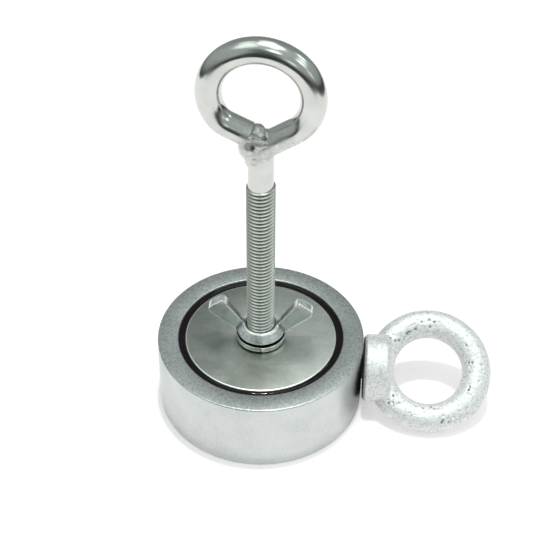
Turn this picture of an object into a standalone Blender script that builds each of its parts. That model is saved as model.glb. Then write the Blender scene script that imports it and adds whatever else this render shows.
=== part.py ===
"""Two-sided magnet fishing magnet: a turned steel housing with a potted disc magnet on each face, a long
welded eye bolt locked by a wing nut on a split washer, and a forged eye bolt in the side of the housing.

Metres, +Z up. The housing stands on its lower rim at Z = 0, the long eye bolt runs up +Z and the side eye
bolt points along +X. The origin is under the middle of the whole object's bounding box.
"""

import math

import bmesh
import bpy
from mathutils import Matrix, Vector

# Housing: one turned piece, an H in section
HOUSING_D = 0.075
HOUSING_H = 0.0285
WALL = 0.0075
RIM_CHAMFER = 0.0006
LIP_CHAMFER = 0.0004

# Magnets and the resin round them
POTTING_WIDTH = 0.0025
MAGNET_RECESS = 0.0005
POTTING_RECESS = 0.0012
MAGNET_EDGE = 0.0004
MAGNET_BORE_GAP = 0.0010

# Metric thread M10, shared by both eye bolts, the nut and the tapped holes
THREAD_D = 0.010
THREAD_GAP = 0.0003
HOLE_WEB = 0.0007

# Long eye bolt
THREAD_SHOWN = 0.0700
STUD_END_INSET = 0.0005
STUD_POINT = 0.0010
WIRE_D = 0.0088
NECK_LENGTH = 0.0154
EYE_BEND_R = 0.0169
EYE_TURN = math.radians(-4.7)
LEG_JOIN = math.radians(42.0)
LEG_DROP = 0.0088
NECK_BEND = 0.0060
CUT_END_BACK = 0.0040
CUT_END_RISE = 0.0048
WELD_R = 0.0058
WELD_SINK = 0.0019

# Split washer
WASHER_W = 0.00375
WASHER_T = 0.0022
SPLIT_WIDTH = 0.0012
SPLIT_SLANT = math.radians(20.0)
SPLIT_AT = math.radians(-86.0)

# Wing nut
BOSS_WALL = 0.0033
BOSS_TOP_WALL = 0.0013
BOSS_H = 0.0044
BOSS_SKIRT = 0.0014
NUT_SPAN = 0.0374
NUT_H = 0.0154
WING_T = 0.0034
WING_WIDTH = 0.0076
ROOT_SINK = 0.0005
WING_ANGLE = math.radians(53.0)
WING_OUT_CORNER = 0.0024
WING_TOP_CORNER = 0.0012

# Side eye bolt
SIDE_GAP = 0.0010
SHANK_LENGTH = 0.0170
HOLE_OVERDRILL = 0.0010
FLANGE_MARGIN = 0.00175
FLANGE_T = 0.0085
FLANGE_EDGE = 0.0010
FLANGE_CROWN = 0.0012
RING_STANDOFF = 0.0002
SIDE_EYE_OD = 0.0462
SIDE_EYE_ID = 0.0248
SIDE_EYE_T = 0.0092
FLOOR_GAP = 0.0003

# Assembly clearance between pieces that touch
TOUCH = 0.0003
SIDE_TOUCH = 0.0002

# Facets round each kind of piece
LARGE_STEPS = 72
SMALL_STEPS = 36
WIRE_SIDES = 16
EYE_STEPS = 30

# Worked out from the sizes above
HOUSING_R = HOUSING_D / 2
POCKET_R = HOUSING_R - WALL
HOLE_R = THREAD_D / 2 + THREAD_GAP
PARTITION = 2 * (HOLE_R + HOLE_WEB)
POCKET_DEPTH = (HOUSING_H - PARTITION) / 2
PARTITION_LOW = POCKET_DEPTH
PARTITION_TOP = POCKET_DEPTH + PARTITION
MAGNET_R = POCKET_R - POTTING_WIDTH
MAGNET_BORE_R = THREAD_D / 2 + MAGNET_BORE_GAP
MAGNET_FACE = HOUSING_H - MAGNET_RECESS
WASHER_R = HOLE_R + WASHER_W
WASHER_LOW = MAGNET_FACE + TOUCH
NUT_SEAT = WASHER_LOW + WASHER_T + TOUCH
BOSS_R = HOLE_R + BOSS_WALL
BOSS_TOP_R = HOLE_R + BOSS_TOP_WALL
MID_H = HOUSING_H / 2
THREAD_TOP = HOUSING_H + THREAD_SHOWN
EYE_HEIGHT = THREAD_TOP + NECK_LENGTH + LEG_DROP + EYE_BEND_R * math.sin(LEG_JOIN)
FLANGE_R = MID_H - FLANGE_MARGIN
FLANGE_X = HOUSING_R + SIDE_GAP
SIDE_EYE_REACH = SIDE_EYE_OD / 2 + RING_STANDOFF
SIDE_EYE_X = FLANGE_X + SIDE_EYE_REACH
SIDE_EYE_R = (SIDE_EYE_OD + SIDE_EYE_ID) / 4
SIDE_EYE_HALF_W = (SIDE_EYE_OD - SIDE_EYE_ID) / 4
AXIS_X = (HOUSING_R - SIDE_EYE_X - SIDE_EYE_OD / 2) / 2
OVERCUT = 0.002


def clear_scene():
    for obj in list(bpy.data.objects):
        bpy.data.objects.remove(obj, do_unlink=True)


def material(name, colour, metallic, roughness):
    made = bpy.data.materials.new(name)
    made.use_nodes = True
    shader = made.node_tree.nodes["Principled BSDF"]
    shader.inputs["Base Color"].default_value = (*colour, 1.0)
    shader.inputs["Metallic"].default_value = metallic
    shader.inputs["Roughness"].default_value = roughness
    return made


def add_object(name, mesh, collection, finish=None):
    obj = bpy.data.objects.new(name, mesh)
    collection.objects.link(obj)
    if finish:
        mesh.materials.append(finish)
    return obj


def add_node(name, mesh, finish):
    """A sub-part, hung on the housing's axis."""
    obj = add_object(name, mesh, PARTS, finish)
    obj.parent = AXIS
    return obj


def add_cutter(name, mesh):
    obj = add_object(name, mesh, CUTTERS)
    obj.parent = AXIS
    obj.hide_render = True
    obj.display_type = "WIRE"
    return obj


def turn(obj, steps):
    """A Screw modifier that turns the object's profile once round Z."""
    screw = obj.modifiers.new("turned", "SCREW")
    screw.axis = "Z"
    screw.steps = steps
    screw.render_steps = steps
    screw.use_merge_vertices = True
    screw.merge_threshold = 0.00001
    screw.use_smooth_shade = True
    return screw


def profile_mesh(name, points, closed):
    """An outline in the XZ plane. It runs down its outer side."""
    mesh = bpy.data.meshes.new(name)
    edges = [(i, i + 1) for i in range(len(points) - 1)]
    if closed:
        edges.append((len(points) - 1, 0))
    mesh.from_pydata([(x, 0.0, z) for x, z in points], edges, [])
    return mesh


def boolean(obj, other, operation):
    cut = obj.modifiers.new(other.name, "BOOLEAN")
    cut.operation = operation
    cut.object = other
    cut.solver = "EXACT"
    return cut


def bar_mesh(name, start, end, radius, steps):
    """A plain round bar from start to end."""
    along = Vector(end) - Vector(start)
    place = Matrix.Translation((Vector(start) + Vector(end)) / 2)
    place @= along.to_track_quat("Z", "Y").to_matrix().to_4x4()
    bm = bmesh.new()
    bmesh.ops.create_cone(bm, cap_ends=True, segments=steps, radius1=radius, radius2=radius,
                          depth=along.length, matrix=place)
    mesh = bpy.data.meshes.new(name)
    bm.to_mesh(mesh)
    bm.free()
    return mesh


def ring_points(inner, outer, low, high, edge):
    """The section of a plain ring whose outer and inner corners are chamfered."""
    return [
        (outer - edge, high), (outer, high - edge), (outer, low + edge), (outer - edge, low),
        (inner + edge, low), (inner, low + edge), (inner, high - edge), (inner + edge, high),
    ]


def both_faces(low, high):
    """The same span at the upper face and mirrored at the lower one."""
    return (("upper", low, high), ("lower", HOUSING_H - high, HOUSING_H - low))


def make_housing(finish):
    outline = [
        (HOUSING_R - RIM_CHAMFER, HOUSING_H), (HOUSING_R, HOUSING_H - RIM_CHAMFER),
        (HOUSING_R, RIM_CHAMFER), (HOUSING_R - RIM_CHAMFER, 0.0),
        (POCKET_R + LIP_CHAMFER, 0.0), (POCKET_R, LIP_CHAMFER),
        (POCKET_R, PARTITION_LOW), (HOLE_R, PARTITION_LOW),
        (HOLE_R, PARTITION_TOP), (POCKET_R, PARTITION_TOP),
        (POCKET_R, HOUSING_H - LIP_CHAMFER), (POCKET_R + LIP_CHAMFER, HOUSING_H),
    ]
    housing = add_node("housing", profile_mesh("housing", outline, closed=True), finish)
    turn(housing, LARGE_STEPS)
    hole_end = FLANGE_X - SHANK_LENGTH - HOLE_OVERDRILL
    drill = bar_mesh("side_hole", (hole_end, 0, MID_H), (HOUSING_R + OVERCUT, 0, MID_H), HOLE_R, SMALL_STEPS)
    boolean(housing, add_cutter("side_hole", drill), "DIFFERENCE")


def make_magnets(finish):
    for side, low, high in both_faces(PARTITION_TOP + TOUCH, MAGNET_FACE):
        name = side + "_magnet"
        section = ring_points(MAGNET_BORE_R, MAGNET_R, low, high, MAGNET_EDGE)
        turn(add_node(name, profile_mesh(name, section, closed=True), finish), LARGE_STEPS)


def make_potting(finish):
    for side, low, high in both_faces(PARTITION_TOP + TOUCH, HOUSING_H - POTTING_RECESS):
        name = side + "_potting"
        section = [
            (POCKET_R - SIDE_TOUCH, high), (POCKET_R - SIDE_TOUCH, low),
            (MAGNET_R + SIDE_TOUCH, low), (MAGNET_R + SIDE_TOUCH, high),
        ]
        turn(add_node(name, profile_mesh(name, section, closed=True), finish), LARGE_STEPS)


def make_spring_washer(finish):
    top = WASHER_LOW + WASHER_T
    section = [(WASHER_R, top), (WASHER_R, WASHER_LOW), (HOLE_R, WASHER_LOW), (HOLE_R, top)]
    washer = add_node("spring_washer", profile_mesh("spring_washer", section, closed=True), finish)
    turn(washer, SMALL_STEPS)
    bm = bmesh.new()
    bmesh.ops.create_cube(bm, size=1.0)
    split = bpy.data.meshes.new("washer_split")
    bm.to_mesh(split)
    bm.free()
    middle = (HOLE_R + WASHER_R) / 2
    cutter = add_cutter("washer_split", split)
    turned = Matrix.Rotation(SPLIT_AT, 4, "Z") @ Matrix.Translation((middle, 0, WASHER_LOW + WASHER_T / 2))
    size = Matrix.Diagonal((2 * WASHER_W, SPLIT_WIDTH, 3 * WASHER_T, 1))
    cutter.matrix_local = turned @ Matrix.Rotation(SPLIT_SLANT, 4, "X") @ size
    boolean(washer, cutter, "DIFFERENCE")


def arc(centre, radius, start, end, steps):
    """Points round an arc in the XZ plane, both ends included."""
    angles = [start + (end - start) * i / steps for i in range(steps + 1)]
    return [(centre[0] + radius * math.cos(a), centre[1] + radius * math.sin(a)) for a in angles]


def rounded_corner(before, corner, after, radius, steps):
    """The arc that rounds one corner of a path, as points."""
    corner = Vector(corner)
    back = (Vector(before) - corner).normalized()
    ahead = (Vector(after) - corner).normalized()
    half = back.angle(ahead) / 2
    centre = corner + (back + ahead).normalized() * radius / math.sin(half)
    start = corner + back * radius / math.tan(half) - centre
    end = corner + ahead * radius / math.tan(half) - centre
    swing = start.angle_signed(end)
    first = math.atan2(start.y, start.x)
    return arc(centre, radius, first, first - swing, steps)


def wing_outline():
    """One wing in the XZ plane, from inside the boss out to a nearly square end with rounded corners."""
    along = Vector((math.cos(WING_ANGLE), math.sin(WING_ANGLE)))
    across = Vector((along.y, -along.x))
    inner_centre_z = NUT_SEAT + NUT_H - WING_TOP_CORNER
    between = across * (WING_WIDTH - WING_OUT_CORNER - WING_TOP_CORNER)
    between -= along * (WING_OUT_CORNER - WING_TOP_CORNER)
    outer_centre = Vector((NUT_SPAN / 2 - WING_OUT_CORNER, inner_centre_z + between.y))
    inner_centre = outer_centre - between
    outer_root = (BOSS_R - ROOT_SINK, NUT_SEAT + BOSS_SKIRT / 5)
    inner_root = (HOLE_R + BOSS_TOP_WALL / 4, NUT_SEAT + BOSS_H - BOSS_TOP_WALL / 4)
    hidden = (HOLE_R + BOSS_TOP_WALL / 4, NUT_SEAT + BOSS_SKIRT)
    quarter = math.radians(90)
    points = [hidden, outer_root]
    points += arc(outer_centre, WING_OUT_CORNER, WING_ANGLE - quarter, WING_ANGLE, 5)
    points += arc(inner_centre, WING_TOP_CORNER, WING_ANGLE, WING_ANGLE + quarter, 4)
    points.append(inner_root)
    return points


def flat_plate(name, points, thickness):
    """A flat outline in the XZ plane, given its thickness along Y, as a mesh."""
    curve = bpy.data.curves.new(name, "CURVE")
    curve.dimensions = "2D"
    curve.fill_mode = "BOTH"
    curve.extrude = thickness / 2
    spline = curve.splines.new("POLY")
    spline.points.add(len(points) - 1)
    for point, (x, z) in zip(spline.points, points):
        point.co = (x, z, 0, 1)
    spline.use_cyclic_u = True
    upright = Matrix.Rotation(math.radians(90), 4, "X")
    return mesh_of_curve(name, curve, upright)


def mesh_of_curve(name, curve, place):
    """The curve's surface as a closed mesh, moved to its place."""
    obj = bpy.data.objects.new(name, curve)
    bpy.context.scene.collection.objects.link(obj)
    bpy.context.view_layer.update()
    evaluated = obj.evaluated_get(bpy.context.evaluated_depsgraph_get())
    mesh = bpy.data.meshes.new_from_object(evaluated)
    bpy.data.objects.remove(obj)
    bm = bmesh.new()
    bm.from_mesh(mesh)
    bmesh.ops.remove_doubles(bm, verts=bm.verts, dist=0.00001)
    bmesh.ops.recalc_face_normals(bm, faces=bm.faces)
    bm.transform(place)
    bm.to_mesh(mesh)
    bm.free()
    return mesh


def make_wing_nut(finish):
    top = NUT_SEAT + BOSS_H
    section = [
        (BOSS_TOP_R, top), (BOSS_R, NUT_SEAT + BOSS_SKIRT), (BOSS_R, NUT_SEAT),
        (HOLE_R, NUT_SEAT), (HOLE_R, top),
    ]
    nut = add_node("wing_nut", profile_mesh("wing_nut", section, closed=True), finish)
    turn(nut, SMALL_STEPS)
    wing = flat_plate("wing", wing_outline(), WING_T)
    for side, angle in (("right", 0.0), ("left", math.pi)):
        copy = wing.copy()
        copy.transform(Matrix.Rotation(angle, 4, "Z"))
        boolean(nut, add_cutter(side + "_wing", copy), "UNION")


def eye_path():
    """The wire's centre line: up the neck, out along one leg, round the eye and back along the other."""
    centre = (0.0, EYE_HEIGHT)
    start, end = -LEG_JOIN, math.pi + LEG_JOIN
    ring = arc(centre, EYE_BEND_R, start, end, EYE_STEPS)
    neck_top = (0.0, ring[0][1] - LEG_DROP)
    bend = rounded_corner((0.0, THREAD_TOP), neck_top, ring[0], NECK_BEND, 6)
    cut_end = (-CUT_END_BACK, neck_top[1] + CUT_END_RISE)
    return [(0.0, THREAD_TOP)] + bend + ring + [cut_end]


def wire_mesh(name, points, diameter, place):
    curve = bpy.data.curves.new(name, "CURVE")
    curve.dimensions = "3D"
    curve.bevel_depth = diameter / 2
    curve.bevel_resolution = WIRE_SIDES // 4 - 1
    curve.use_fill_caps = True
    curve.twist_mode = "MINIMUM"
    spline = curve.splines.new("POLY")
    spline.points.add(len(points) - 1)
    for point, (x, z) in zip(spline.points, points):
        point.co = (x, 0, z, 1)
    return mesh_of_curve(name, curve, place)


def make_long_eye_bolt(finish):
    low = PARTITION_LOW + STUD_END_INSET
    shoulder = (THREAD_D - WIRE_D) / 2
    section = [
        (0.0, THREAD_TOP + shoulder), (WIRE_D / 2, THREAD_TOP + shoulder),
        (THREAD_D / 2, THREAD_TOP), (THREAD_D / 2, low + STUD_POINT),
        (THREAD_D / 2 - STUD_POINT, low), (0.0, low),
    ]
    bolt = add_node("long_eye_bolt", profile_mesh("long_eye_bolt", section, closed=False), finish)
    turn(bolt, SMALL_STEPS)
    turned = Matrix.Rotation(EYE_TURN, 4, "Z")
    path = eye_path()
    wire = wire_mesh("eye_wire", path, WIRE_D, turned)
    boolean(bolt, add_cutter("eye_wire", wire), "UNION")
    bead = turned @ Matrix.Translation((-CUT_END_BACK / 2, 0, path[-1][1] - WELD_SINK))
    bm = bmesh.new()
    bmesh.ops.create_uvsphere(bm, u_segments=20, v_segments=12, radius=WELD_R, matrix=bead)
    weld = bpy.data.meshes.new("eye_weld")
    bm.to_mesh(weld)
    bm.free()
    boolean(bolt, add_cutter("eye_weld", weld), "UNION")


def resting_tilt():
    """How far the side eye turns down from level before its rim is FLOOR_GAP above the ground."""
    low, high = 0.0, math.radians(90)
    for _ in range(40):
        tilt = (low + high) / 2
        drop = SIDE_EYE_R * math.sin(tilt)
        drop += math.hypot(SIDE_EYE_HALF_W * math.sin(tilt), SIDE_EYE_T / 2 * math.cos(tilt))
        if drop < MID_H - FLOOR_GAP:
            low = tilt
        else:
            high = tilt
    return low


def make_side_eye_bolt(finish):
    """Modelled with its axis up +Z, then laid over onto +X."""
    crown = FLANGE_T + FLANGE_CROWN
    section = [
        (0.0, crown), (SIDE_EYE_T / 2, crown),
        (FLANGE_R - FLANGE_EDGE, FLANGE_T), (FLANGE_R, FLANGE_T - FLANGE_EDGE),
        (FLANGE_R, FLANGE_EDGE / 2), (FLANGE_R - FLANGE_EDGE / 2, 0.0),
        (THREAD_D / 2, 0.0), (THREAD_D / 2, STUD_POINT - SHANK_LENGTH),
        (THREAD_D / 2 - STUD_POINT, -SHANK_LENGTH), (0.0, -SHANK_LENGTH),
    ]
    bolt = add_node("side_eye_bolt", profile_mesh("side_eye_bolt", section, closed=False), finish)
    turn(bolt, SMALL_STEPS)
    bpy.ops.mesh.primitive_torus_add(major_radius=SIDE_EYE_R, minor_radius=SIDE_EYE_HALF_W,
                                     major_segments=48, minor_segments=WIRE_SIDES)
    torus = bpy.context.object
    ring = torus.data
    bpy.data.objects.remove(torus)
    flat = Matrix.Diagonal((1, 1, SIDE_EYE_T / (2 * SIDE_EYE_HALF_W), 1))
    upright = Matrix.Rotation(math.radians(90), 4, "X")
    ring.transform(Matrix.Translation((0, 0, SIDE_EYE_REACH)) @ upright @ flat)
    cutter = add_cutter("side_eye_ring", ring)
    boolean(bolt, cutter, "UNION")
    laid_over = Matrix.Translation((FLANGE_X, 0, MID_H)) @ Matrix.Rotation(math.radians(90), 4, "Y")
    turned = Matrix.Rotation(math.radians(90) + resting_tilt(), 4, "Z")
    for obj in (bolt, cutter):
        obj.matrix_local = laid_over @ turned


def new_collection(name):
    made = bpy.data.collections.new(name)
    bpy.context.scene.collection.children.link(made)
    return made


clear_scene()
PARTS = new_collection("magnet_fishing_magnet")
CUTTERS = new_collection("cutters")
AXIS = add_object("housing_axis", None, PARTS)
AXIS.location = (AXIS_X, 0, 0)

ZINC = material("zinc_plate", (0.50, 0.53, 0.52), 1.0, 0.38)
NICKEL = material("nickel_plate", (0.42, 0.44, 0.40), 1.0, 0.34)
RESIN = material("black_resin", (0.012, 0.009, 0.010), 0.0, 0.08)
BRIGHT_ZINC = material("bright_zinc", (0.70, 0.71, 0.69), 1.0, 0.18)
CAST_ZINC = material("cast_zinc", (0.60, 0.63, 0.62), 1.0, 0.34)
GALVANISED = material("galvanised_forging", (0.78, 0.80, 0.79), 0.85, 0.46)

make_housing(ZINC)
make_magnets(NICKEL)
make_potting(RESIN)
make_spring_washer(BRIGHT_ZINC)
make_wing_nut(CAST_ZINC)
make_long_eye_bolt(BRIGHT_ZINC)
make_side_eye_bolt(GALVANISED)
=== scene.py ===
# %% [markdown]
# # A two-sided fishing magnet
#
# The object is a turned steel housing with a disc magnet potted into each face. A long eye bolt is screwed
# down through its middle and locked by a wing nut on a split washer, and a forged eye bolt sits in its side.
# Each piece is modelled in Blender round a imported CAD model, which fixes every size and place.

import math
import random

import bmesh
import bpy
from mathutils import Matrix, Vector
from mathutils.kdtree import KDTree


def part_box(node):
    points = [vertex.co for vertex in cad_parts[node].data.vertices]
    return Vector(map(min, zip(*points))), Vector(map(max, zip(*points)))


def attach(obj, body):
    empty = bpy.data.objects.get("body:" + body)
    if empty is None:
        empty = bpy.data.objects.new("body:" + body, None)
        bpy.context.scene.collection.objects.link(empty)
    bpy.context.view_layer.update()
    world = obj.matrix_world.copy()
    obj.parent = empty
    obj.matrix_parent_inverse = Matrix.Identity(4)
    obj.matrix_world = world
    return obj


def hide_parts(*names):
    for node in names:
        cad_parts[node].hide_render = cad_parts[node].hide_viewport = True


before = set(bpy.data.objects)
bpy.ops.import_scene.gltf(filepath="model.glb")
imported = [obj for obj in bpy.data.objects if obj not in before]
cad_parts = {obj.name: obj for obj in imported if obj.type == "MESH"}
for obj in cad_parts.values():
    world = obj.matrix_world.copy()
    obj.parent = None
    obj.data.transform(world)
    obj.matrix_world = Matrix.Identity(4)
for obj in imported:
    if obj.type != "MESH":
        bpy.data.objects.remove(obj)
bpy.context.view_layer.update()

# %% [markdown]
# ## Sizes
#
# Blender works in metres, and this object is small, so MM turns a size in millimetres into metres. The
# housing's box gives the axis that most pieces are turned round, and the other boxes give the levels that
# they have to meet. Reading them from the frame means that nothing is fitted by eye.

# %% Read the sizes of the frame
MM = 0.001
ORIGIN = Vector((0, 0, 0))
UP = Vector((0, 0, 1))
housing_low, housing_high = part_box("housing")
AXIS = Vector(((housing_low.x + housing_high.x) / 2, (housing_low.y + housing_high.y) / 2, 0))
HOUSING_R = (housing_high.x - housing_low.x) / 2
HOUSING_H = housing_high.z
magnet_low, magnet_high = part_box("upper_magnet")
MAGNET_R = (magnet_high.x - magnet_low.x) / 2
potting_low, potting_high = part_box("upper_potting")
POCKET_R = (potting_high.x - potting_low.x) / 2 + 0.2 * MM
PARTITION_TOP = magnet_low.z - 0.3 * MM
washer_low, washer_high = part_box("spring_washer")
nut_low, nut_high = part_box("wing_nut")
bolt_low, bolt_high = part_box("long_eye_bolt")
side_low, side_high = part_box("side_eye_bolt")
COLLAR_FACE = AXIS.x + HOUSING_R + MM
THREAD_R = 5.0 * MM
THREAD_ROOT = THREAD_R - 0.92 * MM
THREAD_TOP = HOUSING_H + 70 * MM
HOLE_R = THREAD_R + 0.3 * MM
PITCH = 1.5 * MM
print(f"housing: radius {HOUSING_R / MM:.2f} mm, height {HOUSING_H / MM:.2f} mm, at x {AXIS.x / MM:.2f} mm")
print(f"magnet radius {MAGNET_R / MM:.2f} mm, pocket radius {POCKET_R / MM:.2f} mm")

# %% [markdown]
# ## The camera
#
# A product shot like this is taken from about 42 degrees above the table with a long lens, so that the round
# housing stays an even ellipse. The camera is made first, because each piece is judged through it. Its
# turn is worked out from the direction it looks along, with a third of a degree of roll.

# %% Place the camera
camera_data = bpy.data.cameras.new("camera")
camera_data.sensor_width = 36.0
camera_data.lens = 95.4
camera_data.shift_x = -0.0016
camera = bpy.data.objects.new("camera", camera_data)
bpy.context.scene.collection.objects.link(camera)
camera.location = (0.0033, -0.3704, 0.3950)
looking = Vector((-0.0470, 0.7413, -0.6695))
roll = Matrix.Rotation(math.radians(0.36), 4, "Z")
camera.rotation_euler = (looking.to_track_quat("-Z", "Y").to_matrix().to_4x4() @ roll).to_euler()
bpy.context.scene.camera = camera
print("the camera looks", [round(v, 3) for v in looking])

# %% [markdown]
# ## Working in edit mode from a script
#
# An operator acts on all that is selected, so every piece is opened with nothing selected, and then its
# points are picked by a test on their place. The first helpers do what clicking does by hand: open a piece,
# pick parts of it, close it, add a primitive, and apply a modifier.


# %% Helpers for edit mode
def open_piece(obj, mode="VERT"):
    """Edit mode on this piece alone, with nothing selected."""
    if bpy.context.mode != "OBJECT":
        bpy.ops.object.mode_set(mode="OBJECT")
    bpy.ops.object.select_all(action="DESELECT")
    obj.select_set(True)
    bpy.context.view_layer.objects.active = obj
    bpy.ops.object.mode_set(mode="EDIT")
    bpy.ops.mesh.select_mode(type=mode)
    bpy.ops.mesh.select_all(action="DESELECT")


def pick(test):
    """Selects the points that pass the test, in the piece that is open."""
    mesh = bpy.context.object.data
    bm = bmesh.from_edit_mesh(mesh)
    for vertex in bm.verts:
        vertex.select_set(test(vertex))
    bm.select_flush_mode()
    bmesh.update_edit_mesh(mesh)


def close_piece():
    """Merges doubles, points the faces outwards and leaves edit mode."""
    bpy.ops.mesh.select_all(action="SELECT")
    bpy.ops.mesh.remove_doubles(threshold=0.002 * MM)
    bpy.ops.mesh.normals_make_consistent(inside=False)
    bpy.ops.object.mode_set(mode="OBJECT")


def fresh(add, name, stretch=(1, 1, 1), **where):
    """Adds a primitive, with its place and stretch applied to its mesh."""
    bpy.ops.object.select_all(action="DESELECT")
    add(**where)
    obj = bpy.context.object
    obj.scale = stretch
    obj.name = name
    obj.data.name = name
    bpy.ops.object.transform_apply(location=True, rotation=True, scale=True)
    return obj


def apply_modifier(obj, kind, **settings):
    """Adds one modifier, with these settings, and applies it."""
    modifier = obj.modifiers.new(kind.lower(), kind)
    for key, value in settings.items():
        setattr(modifier, key, value)
    bpy.context.view_layer.objects.active = obj
    bpy.ops.object.modifier_apply(modifier=modifier.name)
    return obj


def combine(obj, other, operation):
    """Joins another closed piece to this one, or cuts it away, and removes it."""
    apply_modifier(obj, "BOOLEAN", object=other, operation=operation, solver="EXACT")
    bpy.data.objects.remove(other)
    return obj


def write_values(obj, name, values):
    """Keeps a value at each vertex, for a finish to read."""
    attribute = obj.data.attributes.new(name, "FLOAT", "POINT")
    attribute.data.foreach_set("value", values)
    print(f"{obj.name}: {name} from {min(values):.2f} to {max(values):.2f}")


def note_bends(obj, name):
    """Writes how sharply the surface bends, per millimetre: above 0 on edges, and below 0 in creases."""
    bm = bmesh.new()
    bm.from_mesh(obj.data)
    bm.normal_update()
    near = [[edge.other_vert(v).index for edge in v.link_edges] for v in bm.verts]
    bends = []
    for v in bm.verts:
        total = 0.0
        for edge in v.link_edges:
            other = edge.other_vert(v)
            step = other.co - v.co
            total += (other.normal - v.normal).dot(step) / max(step.length_squared, 1e-10)
        bends.append(total * MM / max(len(v.link_edges), 1))
    bm.free()
    for _ in range(2):
        around = [sum(bends[j] for j in others) for others in near]
        bends = [(bends[i] + around[i]) / (1 + len(others)) for i, others in enumerate(near)]
    write_values(obj, name, bends)


def report(obj):
    size = obj.dimensions / MM
    print(f"{obj.name}: {len(obj.data.polygons)} faces, {size.x:.1f} x {size.y:.1f} x {size.z:.1f} mm")


# %% [markdown]
# ## Turning on a lathe
#
# Most of this object was turned: the housing, the magnets, the washer and the collar all have one section
# carried round an axis. A modeller does the same thing with one point: it is extruded along the section,
# corner by corner, and the outline is then spun a full turn.


# %% Helpers for turned pieces
def outline_of(name, points, origin, closed=True):
    """One point extruded along a section of (radius, height) points. It stays open in edit mode."""
    places = [origin + Vector((r, 0, z)) for r, z in points]
    obj = fresh(bpy.ops.mesh.primitive_plane_add, name, size=MM, location=places[0])
    open_piece(obj)
    bpy.ops.mesh.select_all(action="SELECT")
    bpy.ops.mesh.merge(type="COLLAPSE")
    path = places[1:] + ([places[0]] if closed else [])
    for before, after in zip(places, path):
        bpy.ops.mesh.extrude_vertices_move(TRANSFORM_OT_translate={"value": after - before})
    bpy.ops.mesh.select_all(action="SELECT")
    bpy.ops.mesh.remove_doubles(threshold=0.001 * MM)
    return obj


def turned(name, points, steps, origin=AXIS, closed=True):
    """A section spun once round the upright line through the origin."""
    obj = outline_of(name, points, origin, closed)
    bpy.ops.mesh.select_all(action="SELECT")
    bpy.ops.mesh.spin(steps=steps, angle=math.tau, center=origin, axis=(0, 0, 1))
    close_piece()
    return obj


def corner(centre, radius, start, end, steps=4):
    """Points of a rounded corner in a section, from one angle to another in degrees."""
    angles = [math.radians(start + (end - start) * i / steps) for i in range(steps + 1)]
    return [(centre[0] + radius * math.cos(a), centre[1] + radius * math.sin(a)) for a in angles]


# %% [markdown]
# ## Materials
#
# All of the metal here is zinc or nickel plate, and what tells one finish from another is how it scatters
# light and how its grain is laid. Each finish is a node tree with three scales of noise: clouds of a
# centimetre or so where the plating is uneven, grain below a millimetre, and a fine bump. The patterns read
# Object coordinates, so they are as large on the model as they are on the real thing.


# %% Helpers for node trees
class Tree:
    """A node tree, with short ways to add nodes to it."""

    def __init__(self, node_tree):
        self.nodes = node_tree.nodes
        self.links = node_tree.links

    def set(self, socket, value):
        if isinstance(value, bpy.types.NodeSocket):
            self.links.new(value, socket)
        elif value is not None:
            socket.default_value = value

    def add(self, kind, **sockets):
        """A node of this kind, with these numbers or links on its sockets."""
        made = self.nodes.new("ShaderNode" + kind)
        for key, value in sockets.items():
            self.set(made.inputs[key.replace("_", " ")], value)
        return made

    def ramp(self, value, *stops):
        """A colour or grey for each value."""
        made = self.add("ValToRGB", Fac=value)
        points = made.color_ramp.elements
        while len(points) < len(stops):
            points.new(0.5)
        for point, (at, colour) in zip(points, stops):
            point.position = at
            point.color = (*colour, 1.0) if isinstance(colour, tuple) else (colour, colour, colour, 1.0)
        return made.outputs["Color"]

    def span(self, value, first, last, start=0.0, end=1.0, kind="LINEAR"):
        """What was start becomes first, and what was end becomes last. The rest is kept between them."""
        made = self.add("MapRange", Value=value, From_Min=start, From_Max=end, To_Min=first, To_Max=last)
        made.interpolation_type = kind
        return made.outputs["Result"]

    def mix(self, share, first, second, blend="MIX"):
        """The first colour, with this share of the second."""
        made = self.add("Mix")
        made.data_type = "RGBA"
        made.blend_type = blend
        self.set(made.inputs["Factor"], share)
        self.set(made.inputs["A"], first)
        self.set(made.inputs["B"], second)
        return made.outputs["Result"]

    def layers(self, colour, *over):
        """A colour with layers over it, each a mask and its own colour."""
        for mask, shade in over:
            colour = self.mix(mask, colour, (*shade, 1.0))
        return colour

    def calc(self, operation, first, second=None):
        made = self.add("Math")
        made.operation = operation
        self.set(made.inputs[0], first)
        self.set(made.inputs[1], second)
        return made.outputs["Value"]

    def times(self, first, second):
        """The share that two masks have in common."""
        return self.calc("MULTIPLY", first, second)

    def either(self, first, second):
        """The stronger of two masks."""
        return self.calc("MAXIMUM", first, second)

    def axis(self, vector, letter):
        return self.add("SeparateXYZ", Vector=vector).outputs[letter]


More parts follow.
